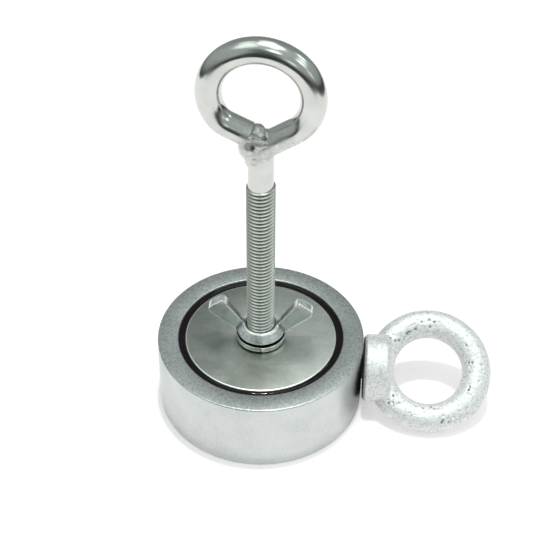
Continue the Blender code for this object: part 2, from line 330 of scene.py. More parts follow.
class Finish(Tree):
    """A material with its Principled shader, and patterns for it."""

    def __init__(self, name, **shader):
        self.material = bpy.data.materials.new(name)
        self.material.use_nodes = True
        super().__init__(self.material.node_tree)
        self.shader = self.nodes["Principled BSDF"]
        self.use(**shader)
        where = self.add("TexCoord").outputs["Object"]
        self.place = self.add("Mapping", Vector=where, Location=-AXIS).outputs["Vector"]

    def away(self, x, y, z=None):
        """The distance from a place, or from an upright line where no height is given."""
        flat = self.add("Mapping", Vector=self.place, Scale=(1, 1, 0 if z is None else 1))
        made = self.add("VectorMath")
        made.operation = "DISTANCE"
        self.set(made.inputs[0], flat.outputs["Vector"])
        self.set(made.inputs[1], (x, y, z or 0.0))
        return made.outputs["Value"]

    def written(self, name):
        """A value written at each vertex of the piece."""
        made = self.add("Attribute")
        made.attribute_name = name
        return made.outputs["Fac"]

    def noise(self, scale, detail=4.0, rough=0.55, stretch=(1, 1, 1)):
        """Noise with this many waves in a millimetre."""
        squeeze = self.add("Mapping", Vector=self.place, Scale=stretch).outputs["Vector"]
        made = self.add("TexNoise", Vector=squeeze, Scale=scale / MM, Detail=detail, Roughness=rough)
        return made.outputs["Fac"]

    def spots(self, scale):
        """The distance to the nearest of a scatter of points, this many in a millimetre."""
        return self.add("TexVoronoi", Vector=self.place, Scale=scale / MM).outputs["Distance"]

    def bump(self, height, depth, under=None):
        """Bump of this depth in millimetres, on top of an earlier one."""
        return self.add("Bump", Height=height, Distance=depth * MM, Normal=under).outputs["Normal"]

    def use(self, **sockets):
        for key, value in sockets.items():
            self.set(self.shader.inputs[key.replace("_", " ")], value)
        return self.material


# %% [markdown]
# ### Zinc plate on the housing
#
# The housing was turned, tumbled and zinc plated. Zinc grows as tiny crystals, so the surface is a soft
# mottle of lighter and darker grey-green grains with a satin gloss. The flat rims are coarser than the side,
# and their colour is painted darker than the side's, which is painted shade; a mask on the height tells them
# apart. The side is painted dark round the side eye, which is painted shade by the collar.

# %% Zinc plate
zinc = Finish("zinc_plate", Metallic=1.0)
clouds = zinc.noise(0.07, detail=3.0)
grains = zinc.noise(1.1, detail=5.0, rough=0.75)
flecks = zinc.spots(1.5)
from_middle = zinc.calc("ABSOLUTE", zinc.calc("SUBTRACT", zinc.axis(zinc.place, "Z"), HOUSING_H / 2))
on_rim = zinc.span(from_middle, 0.0, 1.0, HOUSING_H / 2 - 0.5 * MM, HOUSING_H / 2 - 0.1 * MM)
grain_depth = zinc.span(on_rim, 0.35, 1.0)
lightness = zinc.span(grains, -0.5, 0.5, 0.28, 0.72)
mottle = zinc.calc("ADD", zinc.times(lightness, grain_depth), zinc.span(clouds, 0.38, 0.62, 0.3, 0.7))
# The rim's ramp is darker than the side's: partly coarser grain, and partly painted shade on the flat rims.
plate = zinc.ramp(mottle, (0.1, (0.43, 0.465, 0.455)), (0.5, (0.595, 0.622, 0.615)),
                  (0.9, (0.69, 0.712, 0.705)))
rim = zinc.ramp(mottle, (0.15, (0.28, 0.315, 0.31)), (0.5, (0.50, 0.52, 0.515)),
                (0.85, (0.68, 0.69, 0.685)))
# Painted shade: the side of the housing is painted dark round the collar of the side eye.
painted_shade_by_collar = zinc.times(zinc.span(zinc.away(HOUSING_R, 0.0, HOUSING_H / 2), 0.8, 0.0, 11 * MM, 25 * MM),
                       zinc.span(on_rim, 1.0, 0.25))
speckled = zinc.times(zinc.span(flecks, 0.5, 0.0, 0.0, 0.45), on_rim)
zinc_colour = zinc.layers(zinc.mix(on_rim, plate, rim), (painted_shade_by_collar, (0.10, 0.11, 0.108)),
                          (speckled, (0.30, 0.34, 0.335)))
zinc_rough = zinc.span(mottle, 0.44, 0.30, 0.1, 0.9)
zinc_bump = zinc.bump(grains, 0.012, zinc.bump(clouds, 0.02))
ZINC = zinc.use(Base_Color=zinc_colour, Roughness=zinc_rough, Normal=zinc_bump)

# %% [markdown]
# ### Nickel plate on the magnets
#
# A sintered magnet is ground flat and plated with nickel. The face is warmer and smoother than the zinc
# round it, with broad cloudy patches, a faint ground lay and a rounded edge with a painted highlight. The lay
# is noise squeezed along one direction, so that it becomes streaks. The face is painted paler towards +X and
# darker towards -X, a painted gradient of light.

# %% Nickel plate
nickel = Finish("nickel_plate", Metallic=1.0)
patches = nickel.noise(0.075, detail=4.0, rough=0.6)
lay = nickel.noise(0.9, detail=4.0, stretch=(0.12, 1.0, 1.0))
specks = nickel.noise(1.6, detail=3.0, rough=0.7)
# A painted gradient of light: the face is painted paler towards +X and darker towards -X.
painted_light_across_face = nickel.span(nickel.axis(nickel.place, "X"), 0.0, 1.0, -24 * MM, 26 * MM)
patches_and_painted_light = nickel.calc("ADD", nickel.span(patches, -0.35, 0.35, 0.33, 0.67), painted_light_across_face)
nickel_colour = nickel.ramp(patches_and_painted_light, (0.0, (0.33, 0.35, 0.32)), (0.45, (0.51, 0.53, 0.495)),
                            (1.0, (0.69, 0.71, 0.67)))
specked = nickel.span(specks, 0.0, 0.5, 0.45, 0.75)
# Painted highlight: a thin near-white ring at the magnet's rounded edge.
painted_edge_highlight = nickel.span(nickel.away(0.0, 0.0), 0.0, 1.0, MAGNET_R - 0.55 * MM, MAGNET_R - 0.35 * MM)
nickel_colour = nickel.layers(nickel_colour, (specked, (0.36, 0.38, 0.35)), (painted_edge_highlight, (0.97, 0.98, 0.96)))
nickel_rough = nickel.calc("ADD", nickel.span(patches, 0.36, 0.28, 0.3, 0.7),
                           nickel.span(lay, -0.03, 0.05, 0.3, 0.7))
nickel_bump = nickel.bump(lay, 0.006, nickel.bump(specks, 0.004))
NICKEL = nickel.use(Base_Color=nickel_colour, Roughness=nickel_rough, Normal=nickel_bump)

# %% [markdown]
# ### Potting resin
#
# Black epoxy is poured round the magnet and sets with a hard shine. Close up it isn't quite even: it has
# slow waves from shrinking, and dust has settled in it. A dark base, a low roughness and a soft wide bump
# make the highlights break up into short streaks.

# %% Potting resin
resin = Finish("potting_resin", Metallic=0.0, IOR=1.5, Specular_IOR_Level=0.2)
waves = resin.noise(0.16, detail=2.0)
dust = resin.noise(3.0, detail=2.0)
resin_colour = resin.ramp(dust, (0.45, (0.004, 0.002, 0.0025)), (0.8, (0.018, 0.010, 0.012)))
resin_rough = resin.span(dust, 0.07, 0.2, 0.45, 0.8)
resin_bump = resin.bump(waves, 0.12, resin.bump(dust, 0.003))
RESIN = resin.use(Base_Color=resin_colour, Roughness=resin_rough, Normal=resin_bump)

# %% [markdown]
# ### Bright zinc on the long bolt and its washer
#
# The bolt is bent from drawn wire and bright plated, so it mirrors the room: white floor below, dark
# horizon, grey ceiling and lamps. Its gloss is a low roughness with a little haze. Masks set apart what is
# less bright: the rolled thread, the grooves between its teeth, which are painted dark as painted shade, and
# the scorched weld with its pits. The washer has a dark ring on top, just under the nut, which is painted
# shade.

# %% Bright zinc
WELD_AT, WELD_FLANK = Vector((-1.0, -2.0, 116.0)) * MM, Vector((8.5, -1.2, 119.0)) * MM
WELD_PITS = (((-2.4, -4.5, 116.8), 1.25), ((1.3, -3.2, 119.9), 0.9), ((-3.2, -3.9, 113.2), 0.6))
bright = Finish("bright_zinc", Metallic=1.0)
haze = bright.noise(0.14, detail=4.0)
marks = bright.noise(1.1, detail=3.0)
spatter = bright.noise(0.8, detail=5.0, rough=0.7)
height = bright.axis(bright.place, "Z")
radius = bright.away(0.0, 0.0)
on_stud = bright.times(bright.span(height, 1.0, 0.0, THREAD_TOP - 1.8 * MM, THREAD_TOP - 0.3 * MM),
                       bright.span(radius, 1.0, 0.0, THREAD_R + 0.1 * MM, THREAD_R + 0.2 * MM))
# Painted shade: the grooves between the thread's teeth are painted dark.
groove = bright.times(bright.span(radius, 1.0, 0.0, THREAD_ROOT + 0.25 * MM, THREAD_R - 0.1 * MM), on_stud)
welded = bright.either(bright.span(bright.away(*WELD_AT), 1.0, 0.0, 5.0 * MM, 9.0 * MM),
                       bright.span(bright.away(*WELD_FLANK), 0.8, 0.0, 3.5 * MM, 6.5 * MM))
scorched = bright.times(bright.span(spatter, 0.0, 1.0, 0.42, 0.62), welded)
bright_colour = bright.ramp(haze, (0.25, (0.55, 0.562, 0.535)), (0.75, (0.66, 0.668, 0.64)))
bright_colour = bright.layers(bright_colour, (bright.times(on_stud, 0.8), (0.72, 0.73, 0.69)),
                              (bright.times(groove, 0.8), (0.10, 0.11, 0.09)),
                              (bright.times(scorched, 0.45), (0.30, 0.31, 0.28)))
for pit_at, pit_size in WELD_PITS:
    from_pit = bright.away(*(Vector(pit_at) * MM))
    near_pit = bright.span(from_pit, 0.92, 0.0, pit_size * 0.5 * MM, pit_size * MM)
    bright_colour = bright.layers(bright_colour, (near_pit, (0.05, 0.05, 0.045)))
# Painted shade: a dark ring on the washer's top, just under the rim of the nut's boss.
painted_shade_under_nut = bright.times(bright.span(height, 0.0, 0.9, washer_high.z - 0.4 * MM, washer_high.z - 0.2 * MM),
                         bright.span(radius, 1.0, 0.0, 8.6 * MM, 8.8 * MM))
painted_shade_under_nut = bright.times(painted_shade_under_nut, bright.span(height, 1.0, 0.0, washer_high.z, washer_high.z + 0.2 * MM))
painted_shade_under_nut = bright.times(painted_shade_under_nut, bright.span(radius, 0.0, 1.0, THREAD_R, THREAD_R + 0.2 * MM))
bright_colour = bright.layers(bright_colour, (painted_shade_under_nut, (0.03, 0.03, 0.03)))
dull = bright.either(bright.times(on_stud, 0.8), welded)
smooth = bright.calc("ADD", bright.span(haze, 0.2, 0.12, 0.3, 0.7), bright.span(marks, -0.01, 0.03, 0.3, 0.7))
bright_rough = bright.calc("ADD", smooth, bright.times(dull, 0.24))
bright_bump = bright.bump(marks, 0.006, bright.bump(haze, 0.05))
BRIGHT_ZINC = bright.use(Base_Color=bright_colour, Roughness=bright_rough, Normal=bright_bump)

# %% [markdown]
# ### Cast zinc on the wing nut
#
# A wing nut is die cast, so its boss carries a fine orange peel, and handling has smoothed its edges. How
# sharply the casting bends is written at each of its vertices when it is modelled, and the finish reads it
# back: edges are smoother and painted paler, a painted highlight with some wear, and creases are painted
# darker as painted shade. The tips of the ears are painted pale as a painted highlight. The foot of the boss
# is painted dark as painted shade, and the inner edges of the ears are darker.

# %% Cast zinc
cast = Finish("cast_zinc", Metallic=1.0)
peel = cast.noise(0.75, detail=4.0, rough=0.6)
stains = cast.noise(0.25, detail=4.0)
nut_height = cast.axis(cast.place, "Z")
bend_there = cast.written("bend")
# Edges are painted paler: a painted highlight along them, together with some wear.
worn_and_highlit_edges = cast.span(bend_there, 0.0, 1.0, 0.07, 0.32)
# Painted shade: creases in the casting are painted darker.
painted_shade_in_creases = cast.span(bend_there, 1.0, 0.0, -0.35, -0.05)
on_boss = cast.span(cast.away(0.0, 0.0), 1.0, 0.0, 8.0 * MM, 8.9 * MM)
# Painted highlight: the tips of the ears are painted pale.
painted_highlight_on_tips = cast.span(nut_height, 0.0, 0.7, nut_high.z - 2.4 * MM, nut_high.z - 1.2 * MM)
peeled = cast.times(cast.span(peel, 0.0, 1.0, 0.4, 0.6), on_boss)
# Painted shade at the foot of the boss, and darker inner edges on the ears.
painted_shade_and_dark_edges = cast.either(cast.span(nut_height, 0.9, 0.0, nut_low.z + 0.5 * MM, nut_low.z + 1.0 * MM),
                    cast.times(cast.written("inner_edge"), 0.85))
cast_colour = cast.ramp(stains, (0.3, (0.46, 0.50, 0.50)), (0.7, (0.62, 0.655, 0.65)))
pale_highlight_and_wear = (0.88, 0.90, 0.89)
cast_colour = cast.layers(cast_colour, (peeled, (0.84, 0.86, 0.85)), (worn_and_highlit_edges, pale_highlight_and_wear),
                          (cast.times(painted_shade_in_creases, 0.75), (0.16, 0.18, 0.175)), (painted_highlight_on_tips, pale_highlight_and_wear),
                          (painted_shade_and_dark_edges, (0.07, 0.08, 0.078)))
cast_rough = cast.calc("SUBTRACT", cast.span(peel, 0.42, 0.28, 0.3, 0.7), cast.times(worn_and_highlit_edges, 0.06))
cast_bump = cast.bump(cast.times(peel, cast.span(on_boss, 0.35, 1.0)), 0.09)
CAST_ZINC = cast.use(Base_Color=cast_colour, Roughness=cast_rough, Normal=cast_bump)

# %% [markdown]
# ### Hot-dip galvanising on the side eye bolt
#
# The side bolt is drop forged and dipped in molten zinc. The coat is thick, pale and matt with soft
# crystals, and it is broken by clusters of dark pits where scale was trapped. The large pits are modelled in
# the mesh, and their depth is written there for this finish to darken. It adds the small ones itself: a
# scatter of spots that only shows where a slow noise is high, which makes them gather in clusters. The back
# of the collar, which nearly touches the housing, is painted dark as painted shade in the gap.

# %% Galvanised coat
coat = Finish("galvanised_coat", Metallic=0.65)
crystals = coat.noise(0.32, detail=5.0, rough=0.65)
skin = coat.noise(1.3, detail=5.0, rough=0.75)
clustered = coat.span(coat.noise(0.09, detail=3.0), 0.0, 1.0, 0.46, 0.62)
small_pits = coat.times(coat.span(coat.spots(0.75), 1.0, 0.0, 0.10, 0.32), clustered)
large_pits = coat.span(coat.written("pit"), 0.0, 1.0, 0.02, 0.4)
all_pits = coat.either(coat.times(small_pits, 0.7), large_pits)
coat_colour = coat.ramp(crystals, (0.3, (0.78, 0.782, 0.785)), (0.7, (0.91, 0.905, 0.912)))
collar_back = COLLAR_FACE - AXIS.x
# Painted shade: the back of the collar, in the gap at the housing, is painted dark.
painted_shade_behind_collar = coat.span(coat.axis(coat.place, "X"), 0.9, 0.0, collar_back - 0.45 * MM, collar_back - 0.1 * MM)
coat_colour = coat.layers(coat_colour, (coat.span(skin, 0.7, 0.0, 0.36, 0.54), (0.42, 0.44, 0.438)),
                          (coat.times(all_pits, 0.85), (0.13, 0.14, 0.14)), (painted_shade_behind_collar, (0.06, 0.065, 0.063)))
coat_rough = coat.span(crystals, 0.66, 0.52, 0.3, 0.7)
coat_bump = coat.bump(skin, 0.06, coat.bump(crystals, 0.10))
GALVANISED = coat.use(Base_Color=coat_colour, Roughness=coat_rough, Normal=coat_bump)
print("finishes:", [made.name for made in (ZINC, NICKEL, RESIN, BRIGHT_ZINC, CAST_ZINC, GALVANISED)])


# %% [markdown]
# ## Finishing a piece
#
# Every finished piece rides on the CAD body that it belongs to, stands for the CAD node that it replaces,
# and takes its finish in a material slot. Faces are shaded smooth except at corners.


# %% Helper to finish a piece
def finish_piece(obj, material, body, node, angle=35):
    if bpy.context.mode != "OBJECT":
        bpy.ops.object.mode_set(mode="OBJECT")
    obj.data.materials.clear()
    obj.data.materials.append(material)
    bpy.ops.object.select_all(action="DESELECT")
    obj.select_set(True)
    bpy.context.view_layer.objects.active = obj
    bpy.ops.object.shade_smooth_by_angle(angle=math.radians(angle))
    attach(obj, body)
    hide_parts(node)
    report(obj)


# %% [markdown]
# ## The housing
#
# The housing is one turned piece, an H in section: a rim, a pocket in each face for a magnet, and a web
# between them. Its section is spun, with a small rounded chamfer at each rim and lip, because that thin
# bright line is what makes a machined edge look machined. The side hole is then drilled with a Boolean.


# %% Model the housing
def half_section(edge, lip, web):
    """The upper half of the housing's section, from the side round to the hole, from its mid height."""
    half = HOUSING_H / 2
    rim = corner((HOUSING_R - edge, half - edge), edge, 0, 90, 4)
    bore = corner((POCKET_R + lip, half - lip), lip, 90, 180, 4)
    return rim + bore + [(POCKET_R, web), (HOLE_R, web)]


mid_height = HOUSING_H / 2
upper_half = half_section(edge=0.55 * MM, lip=0.35 * MM, web=PARTITION_TOP - mid_height)
lower_half = [(r, -z) for r, z in reversed(upper_half)]
section = [(r, z + mid_height) for r, z in upper_half + lower_half]
housing = turned("turned_housing", section, steps=192)

DRILLED = 30 * MM
drill = fresh(bpy.ops.mesh.primitive_cylinder_add, "drill", vertices=64, radius=HOLE_R, depth=DRILLED,
              location=(side_low.x - MM + DRILLED / 2, AXIS.y, mid_height), rotation=(0, math.radians(90), 0))
combine(housing, drill, "DIFFERENCE")
finish_piece(housing, ZINC, "housing", "housing")

# %% [markdown]
# ## The magnets
#
# Each magnet is a thick ring with softly rounded edges, as plated magnets have, because plating builds up
# on a sharp corner. One is turned, and the other is a copy with its own mesh, mirrored about the middle
# of the housing. A mirror turns a mesh inside out, so the copy's faces are pointed outwards again.


# %% Model the magnets
def mirrored_copy(obj, name):
    """A copy at the other face of the housing."""
    twin = obj.copy()
    twin.data = obj.data.copy()
    twin.name = name
    bpy.context.scene.collection.objects.link(twin)
    open_piece(twin)
    bpy.ops.mesh.select_all(action="SELECT")
    bpy.ops.transform.mirror(constraint_axis=(False, False, True), orient_type="GLOBAL",
                             center_override=(0, 0, mid_height))
    close_piece()
    return twin


def ring_section(inner, outer, low, high, outside, inside):
    """A ring's section with rounded corners."""
    return (corner((outer - outside, high - outside), outside, 90, 0)
            + corner((outer - outside, low + outside), outside, 0, -90)
            + corner((inner + inside, low + inside), inside, -90, -180)
            + corner((inner + inside, high - inside), inside, 180, 90))


section = ring_section(THREAD_R + MM, MAGNET_R, magnet_low.z, magnet_high.z,
                       outside=0.45 * MM, inside=0.3 * MM)
upper_magnet = turned("upper_disc_magnet", section, steps=160)
lower_magnet = mirrored_copy(upper_magnet, "lower_disc_magnet")
mirrored_z = lower_magnet.bound_box[0][2]
print(f"the magnet's top at {magnet_high.z / MM:.2f} mm is mirrored to {mirrored_z / MM:.2f} mm")
finish_piece(upper_magnet, NICKEL, "housing", "upper_magnet")
finish_piece(lower_magnet, NICKEL, "housing", "lower_magnet")

# %% [markdown]
# ## The potting
#
# Resin wets both walls of its groove, so it sets in a shallow hollow that creeps up them. That hollow is
# what catches the lamps in thin arcs. It is a spun section whose top is a curve, and a slow cloud texture
# then moves the top by a tenth or two of a millimetre, so that its edge isn't a perfect circle.


# %% Model the potting
inner, outer = MAGNET_R + 0.1 * MM, POCKET_R - 0.1 * MM
top, bottom = potting_high.z, potting_low.z
SUNK, CREEP, STEEPNESS, PARTS = 0.25 * MM, 0.35 * MM, 2.6, 16
hollow = []
for i in range(PARTS + 1):
    across = i / PARTS
    creep = CREEP * abs(2 * across - 1) ** STEEPNESS
    hollow.append((outer + (inner - outer) * across, top - SUNK + creep))
section = hollow + [(inner, bottom), (outer, bottom)]
upper_potting = turned("upper_resin_ring", section, steps=160)

slow = bpy.data.textures.new("resin_waves", "CLOUDS")
slow.noise_scale = 5 * MM
group = upper_potting.vertex_groups.new(name="top")
group.add([v.index for v in upper_potting.data.vertices if v.co.z > top - 0.5 * MM], 1.0, "REPLACE")
apply_modifier(upper_potting, "DISPLACE", texture=slow, texture_coords="LOCAL", direction="Z",
               strength=0.35 * MM, mid_level=0.5, vertex_group="top")
upper_potting.vertex_groups.clear()
lower_potting = mirrored_copy(upper_potting, "lower_resin_ring")
finish_piece(upper_potting, RESIN, "housing", "upper_potting", angle=60)
finish_piece(lower_potting, RESIN, "housing", "lower_potting", angle=60)

# %% [markdown]
# ## A screw thread
#
# Both eye bolts have a rolled M10 thread. It is one tooth, 1.5 mm long, carried up and round by a Screw
# modifier whose offset is the pitch. Each turn of the tooth meets the last one. The ends are made by
# keeping only what lies inside a turned blank, whose tapers give the thread its start and run-out.


# %% Helper for threads
def threaded_rod(name, low, high, start_taper, end_taper, steps=40):
    """A rod with a real thread, upright at the origin's axis."""
    # The tooth's section: a radius in metres, and a height in millimetres.
    tooth = [(THREAD_ROOT, 0.0), (THREAD_ROOT, 0.17), (THREAD_ROOT + 0.09 * MM, 0.27),
             (THREAD_R - 0.08 * MM, 0.62), (THREAD_R, 0.70), (THREAD_R, 0.80),
             (THREAD_R - 0.08 * MM, 0.88), (THREAD_ROOT + 0.09 * MM, 1.23), (THREAD_ROOT, 1.33),
             (THREAD_ROOT, 1.50)]
    points = [(r, low - 2 * PITCH + z * MM) for r, z in tooth]
    rod = outline_of(name, points, ORIGIN, closed=False)
    bpy.ops.object.mode_set(mode="OBJECT")
    turns = math.ceil((high - low) / PITCH) + 4
    apply_modifier(rod, "SCREW", axis="Z", screw_offset=PITCH, iterations=turns, steps=steps,
                   render_steps=steps, use_merge_vertices=True, merge_threshold=0.002 * MM)
    open_piece(rod)
    bpy.ops.mesh.select_all(action="SELECT")
    bpy.ops.mesh.remove_doubles(threshold=0.002 * MM)
    spare = 0.4 * MM
    for level, away in ((low - spare, -1), (high + spare, 1)):
        bpy.ops.mesh.select_all(action="SELECT")
        bpy.ops.mesh.bisect(plane_co=(0, 0, level), plane_no=(0, 0, away), use_fill=True, clear_outer=True,
                            threshold=0.0001 * MM)
    close_piece()
    outside = THREAD_R + 0.05 * MM
    blank = turned(name + "_blank", [
        (0, low), (THREAD_R - start_taper, low), (outside, low + start_taper),
        (outside, high - end_taper), (THREAD_ROOT, high), (0, high),
    ], steps=72, origin=ORIGIN, closed=False)
    return combine(rod, blank, "INTERSECT")


def moved(obj, matrix):
    """Moves the mesh itself, so that the object stays at the origin."""
    obj.matrix_world = matrix
    bpy.ops.object.select_all(action="DESELECT")
    obj.select_set(True)
    bpy.context.view_layer.objects.active = obj
    bpy.ops.object.transform_apply(location=True, rotation=True, scale=True)
    return obj


# %% [markdown]
# ## The long eye bolt: its threaded stud
#
# The stud runs from just above the far side of the web, up through the magnet, the washer and the nut, to
# 70 mm above the housing, where the plain neck starts.

# %% Thread the stud
stud = threaded_rod("welded_eye_bolt", bolt_low.z, THREAD_TOP, start_taper=MM, end_taper=0.5 * MM)
moved(stud, Matrix.Translation(AXIS))
report(stud)

# %% [markdown]
# ## The long eye bolt: bending the wire
#
# The eye is bent from 8.8 mm wire. It goes up the neck, bends out along one leg, goes round the eye, and
# comes back along a second leg to its cut end. A bend is a spin: the open end of the tube is carried round a
# point beside it. The legs are straight extrusions. Where a leg meets the eye, the small bend has to touch
# both the leg's line and the eye's circle, and that fixes its centre.

# %% Work out the bends
WIRE_R = 4.4 * MM
EYE_R = 16.9 * MM
EYE_TOP = bolt_high.z
EYE_CENTRE = Vector((0, EYE_TOP - WIRE_R - EYE_R))
TURN = math.radians(-4.7)
SIDEWAYS = Vector((math.cos(TURN), math.sin(TURN), 0))
SPIN_AXIS = SIDEWAYS.cross(UP)
JOIN = math.radians(42)
LEG_DROP = 8.8 * MM
leg_top = Vector((EYE_R * math.cos(JOIN), EYE_CENTRE.y - EYE_R * math.sin(JOIN)))
neck_top = Vector((0, leg_top.y - LEG_DROP))
cut_end = neck_top + Vector((4.0 * MM, 4.8 * MM))


def in_plane(point):
    """A place in the eye's own plane, as a place in the scene."""
    return AXIS + SIDEWAYS * point[0] + UP * point[1]


def joining_bend(foot, radius):
    """A leg from its foot, and its bend into the eye: its direction, its length and the bend's centre."""
    along = (leg_top - foot).normalized()
    left = Vector((-along.y, along.x))
    first = foot + left * radius - EYE_CENTRE
    reach = EYE_R - radius
    half = first.dot(along)
    length = -half + math.sqrt(half * half - first.length_squared + reach * reach)
    return along, length, foot + left * radius + along * length


NECK_BEND = 6.0 * MM
leg, leg_length, leg_bend = joining_bend(neck_top, 10.0 * MM)
tail, tail_length, tail_bend = joining_bend(cut_end, 9.0 * MM)
heading = math.atan2(leg.y, leg.x)
neck_turn = math.radians(90) - heading
leg_from_eye, tail_from_eye = leg_bend - EYE_CENTRE, tail_bend - EYE_CENTRE
eye_start = math.atan2(leg_from_eye.y, leg_from_eye.x)
eye_end = math.atan2(tail_from_eye.y, tail_from_eye.x)
print(f"the neck bends {math.degrees(neck_turn):.1f} degrees, and the leg is {leg_length / MM:.1f} mm long")


# %% Bend the wire
def bend(centre, degrees, steps):
    bpy.ops.mesh.spin(steps=steps, angle=math.radians(degrees), center=in_plane(centre), axis=SPIN_AXIS)


EVEN_STEP = 1.1 * MM


def straight(step):
    """A straight length, drawn out a step at a time to keep its faces even."""
    value = SIDEWAYS * step[0] + UP * step[1]
    parts = max(1, round(value.length / EVEN_STEP))
    for _ in range(parts):
        bpy.ops.mesh.extrude_region_move(TRANSFORM_OT_translate={"value": value / parts})


foot_level = THREAD_TOP - 1.3 * MM
wire = fresh(bpy.ops.mesh.primitive_circle_add, "wire", vertices=40, radius=WIRE_R, fill_type="NGON",
             location=in_plane((0, foot_level)))
open_piece(wire, "FACE")
bpy.ops.mesh.select_all(action="SELECT")
setback = NECK_BEND * math.tan(neck_turn / 2)
straight((0, neck_top.y - setback - foot_level))
bend((NECK_BEND, neck_top.y - setback), math.degrees(neck_turn), 14)
straight(leg * (leg_length - setback))
bend(leg_bend, -math.degrees(math.radians(90) + eye_start - heading), 6)
bend(EYE_CENTRE, -math.degrees(math.pi - eye_end - eye_start), 88)
tail_heading = math.atan2(tail.y, tail.x)
# The tail was worked out as a leg on the right, so it is mirrored to the left here.
bend((-tail_bend.x, tail_bend.y), -math.degrees(math.radians(90) + eye_end - tail_heading), 8)
straight((tail.x * tail_length, -tail.y * tail_length))
close_piece()
report(wire)

# %% [markdown]
# ## The long eye bolt: the weld
#
# The cut end of the wire is closed onto the neck with a weld: a bulging seam down the left of the neck, a few
# beads on top, and a pit where the arc was broken off. It is built as a welder builds it, bead on bead. The
# beads are joined, and a Remesh at a fifth of a millimetre melts them into one skin, which a little noise
# makes uneven. The pits are cut out of it before it is joined to the wire.


# %% Build up the weld
def bead(u, out, z, size, stretch=(1, 1, 1)):
    """One bead. u is across the eye, out is towards the front, and z is up, in millimetres."""
    at = in_plane((u * MM, z * MM)) + SPIN_AXIS * out * MM
    return fresh(bpy.ops.mesh.primitive_uv_sphere_add, "bead", segments=28, ring_count=16,
                 radius=size * MM, location=at, stretch=stretch, rotation=(0, 0, TURN))


weld = bead(-2.4, 0.2, 114.2, 4.7, (1.08, 1.0, 1.25))
for more in (
    bead(-4.6, 0.2, 117.4, 3.6, (1.1, 1.0, 0.9)),
    bead(-2.5, 0.2, 108.8, 2.9, (1.0, 1.1, 1.25)),
    bead(-1.6, 2.5, 111.4, 2.9, (1.0, 0.8, 1.0)),
    bead(-3.4, 3.3, 119.4, 1.2, (1.3, 1.0, 1.0)),
    bead(-1.2, 0.0, 120.2, 2.2, (1.3, 1.5, 1.0)),
    bead(0.3, 1.8, 119.7, 1.7, (1.2, 1.1, 0.9)),
    bead(2.2, 0.2, 118.8, 2.6, (1.2, 1.2, 0.8)),
    bead(2.2, 2.4, 117.4, 1.9, (1.4, 1.0, 1.0)),
    bead(-0.6, 2.9, 117.2, 2.2, (1.3, 0.9, 1.0)),
):
    combine(weld, more, "UNION")
apply_modifier(weld, "REMESH", mode="VOXEL", voxel_size=0.2 * MM)
ripple = bpy.data.textures.new("weld_ripple", "CLOUDS")
ripple.noise_scale = 1.3 * MM
apply_modifier(weld, "DISPLACE", texture=ripple, texture_coords="LOCAL", strength=0.32 * MM, mid_level=0.5)
apply_modifier(weld, "SMOOTH", factor=0.5, iterations=8)
for pit in (bead(-2.2, 5.3, 116.7, 1.0, (1.5, 1.0, 0.9)), bead(1.5, 3.2, 119.9, 0.7, (1.3, 1.2, 1.0))):
    combine(weld, pit, "DIFFERENCE")
report(weld)

# %% [markdown]
# The stud, the wire and the weld are one piece of steel, so they are joined into one closed mesh.

# %% Join the long eye bolt
combine(wire, weld, "UNION")
long_bolt = combine(stud, wire, "UNION")
finish_piece(long_bolt, BRIGHT_ZINC, "long_eye_bolt", "long_eye_bolt", angle=32)

# %% [markdown]
# ## The split washer
#
# A spring washer is square wire coiled one turn, so its two ends are a little apart and one stands higher.
# Its section is carried round by a Screw modifier that climbs a quarter of a millimetre, the two open ends
# are filled, and a slanted cut trims them as the real cut does.

# %% Coil the washer
WASHER_R = (washer_high.x - washer_low.x) / 2
SPLIT_AT = math.radians(-86)
CLIMB = 0.26 * MM
OPEN_BY = 0.8
section = ring_section(HOLE_R, WASHER_R, washer_low.z, washer_high.z - CLIMB,
                       outside=0.35 * MM, inside=0.3 * MM)
coil = outline_of("coil_washer", section, ORIGIN)
bpy.ops.object.mode_set(mode="OBJECT")
apply_modifier(coil, "SCREW", axis="Z", angle=math.radians(360 - OPEN_BY), screw_offset=CLIMB, steps=120,
               render_steps=120, use_merge_vertices=False)
open_piece(coil)
bpy.ops.mesh.select_all(action="SELECT")
bpy.ops.mesh.fill_holes(sides=0)
close_piece()
moved(coil, Matrix.Rotation(SPLIT_AT + math.radians(OPEN_BY / 2), 4, "Z"))
middle = Vector(((HOLE_R + WASHER_R) / 2, 0, (washer_low.z + washer_high.z) / 2))
saw = fresh(bpy.ops.mesh.primitive_cube_add, "saw", size=MM)
at_split = Matrix.Rotation(SPLIT_AT, 4, "Z") @ Matrix.Translation(middle)
moved(saw, at_split @ Matrix.Rotation(math.radians(20), 4, "X") @ Matrix.Diagonal((8, 0.3, 8, 1)))
combine(coil, saw, "DIFFERENCE")
moved(coil, Matrix.Translation(AXIS))
finish_piece(coil, BRIGHT_ZINC, "spring_washer", "spring_washer")

# %% [markdown]
# ## The wing nut
#
# A cast wing nut is a low cone-shaped boss with two flat ears. The boss is turned. An ear is one outline,
# filled and given its thickness by extruding it, and the second ear is a copy turned half way round. The
# casting has soft edges and small fillets where the ears grow out of the boss. A voxel Remesh and a little
# smoothing give exactly that, and would be far slower to bevel by hand.

# %% Turn the boss and shape the ears
seat = nut_low.z
nut_top = nut_high.z
nut_span = (nut_high.x - nut_low.x) / 2
boss = [
    (8.6, 1.0), (8.3, 0.5), (7.5, 0.0), (5.7, 0.0), (5.3, 0.4), (5.3, 3.9), (5.75, 4.4), (6.35, 4.38),
    (6.9, 4.0), (7.5, 3.1), (8.1, 2.2), (8.5, 1.4),
]
nut = turned("winged_nut", [(r * MM, seat + z * MM) for r, z in boss], steps=96)

